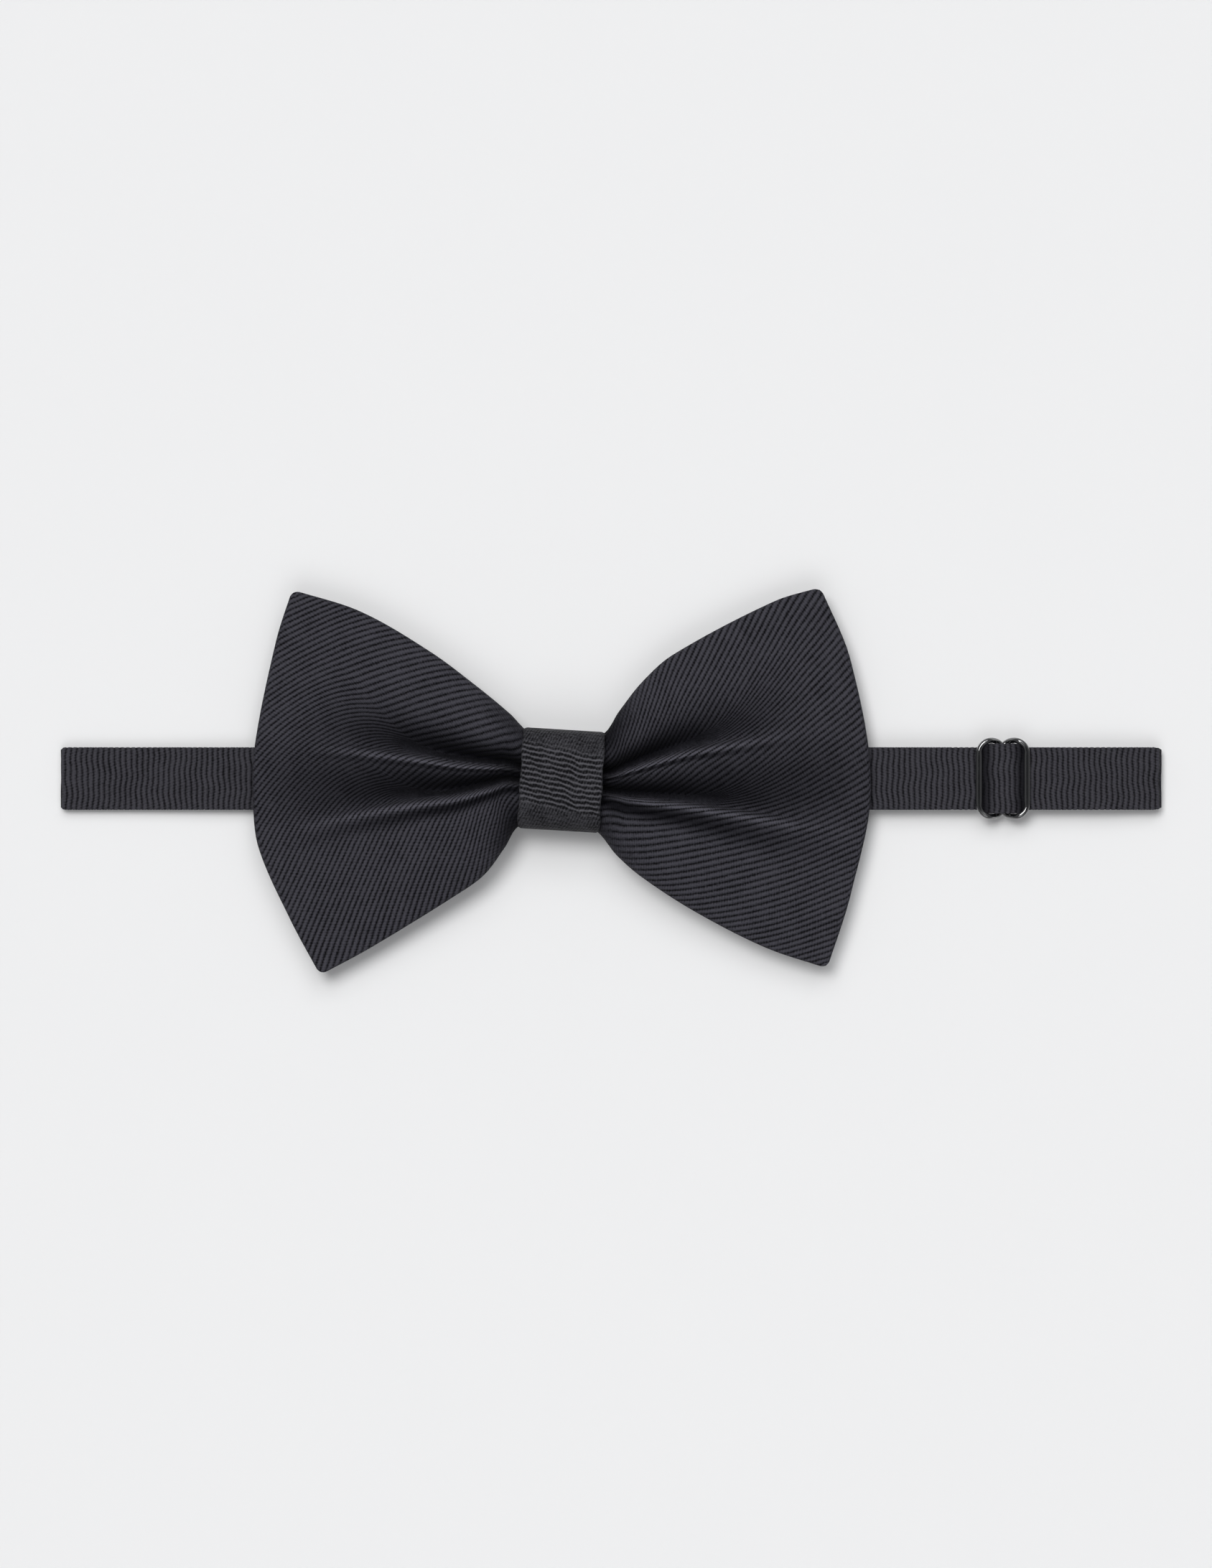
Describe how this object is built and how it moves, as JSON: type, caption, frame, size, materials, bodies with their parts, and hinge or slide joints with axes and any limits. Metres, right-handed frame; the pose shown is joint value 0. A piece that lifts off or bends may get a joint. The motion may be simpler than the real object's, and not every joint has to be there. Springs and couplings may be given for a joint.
{
  "type": "bow tie",
  "caption": "Ready-tied fabric bow on a folded ribbon neck band, with a wire slider that sets its length and a hook and eye that fasten it behind the neck.",
  "frame": {"origin": "on the table under the middle of the whole tie's box, as it lies face up", "axes": "+X along the neck band towards the slider, +Y up the bow, +Z off the table, out of the bow's front"},
  "size_m": [0.214, 0.0752, 0.0133],
  "materials": {
    "bow_cloth": "matt black diagonal-ribbed silk-like twill",
    "band_ribbon": "matt black cross-ribbed grosgrain",
    "interlining": "plain undyed woven interlining",
    "thread": "black twisted sewing thread",
    "slider_enamel": "gloss black enamel on steel wire",
    "clasp_enamel": "gloss black enamel on steel"
  },
  "bodies": {
    "bow_and_front_band": {"bow_front": "bow_cloth", "bow_back": "bow_cloth", "bow_front_interlining": "interlining", "bow_back_interlining": "interlining", "gather_thread": "thread", "knot_wrap": "bow_cloth", "knot_interlining": "interlining", "knot_back_stitches": "thread", "band_tack_stitches": "thread", "band_front": "band_ribbon", "band_left_fold": "band_ribbon", "band_right_fold": "band_ribbon", "band_right_fold_inner": "band_ribbon"},
    "left_back": {"band_left_back": "band_ribbon", "eye_strap_loop": "band_ribbon", "eye_loop_stitches": "thread"},
    "eye": {"eye": "clasp_enamel"},
    "right_back": {"band_right_back": "band_ribbon", "band_right_back_inner": "band_ribbon"},
    "hook_turn": {"hook_strap_loop": "band_ribbon"},
    "hook": {"hook": "clasp_enamel"},
    "slider": {"slider": "slider_enamel", "slider_tail_loop": "band_ribbon", "slider_tail_stitches": "thread"}
  },
  "joints": [
    {"name": "left_unfold", "type": "hinge", "parent": "bow_and_front_band", "child": "left_back", "pos_m": [-0.10729, 0.0005, 0.00105], "axis": [0, 1, 0], "range_deg": [0, 178]},
    {"name": "right_unfold", "type": "hinge", "parent": "bow_and_front_band", "child": "right_back", "pos_m": [0.10766, 0.0005, 0.0017], "axis": [0, -1, 0], "range_deg": [0, 178]},
    {"name": "slider_travel", "type": "slide", "parent": "bow_and_front_band", "child": "slider", "axis": [1, 0, 0], "range_m": [-0.018, 0.012]},
    {"name": "hook_travel", "type": "slide", "parent": "right_back", "child": "hook_turn", "axis": [1, 0, 0], "range_m": [-0.006, 0.009]},
    {"name": "eye_tilt", "type": "hinge", "parent": "left_back", "child": "eye", "pos_m": [0.013, 0.0005, 0.001], "axis": [0, 1, 0], "range_deg": [0, 100]},
    {"name": "hook_tilt", "type": "hinge", "parent": "hook_turn", "child": "hook", "pos_m": [0.0425, 0.0005, 0.001], "axis": [0, -1, 0], "range_deg": [0, 100]}
  ],
  "couplings": [
    {"joint": "hook_travel", "follows": "slider_travel", "ratio": -0.5}
  ]
}
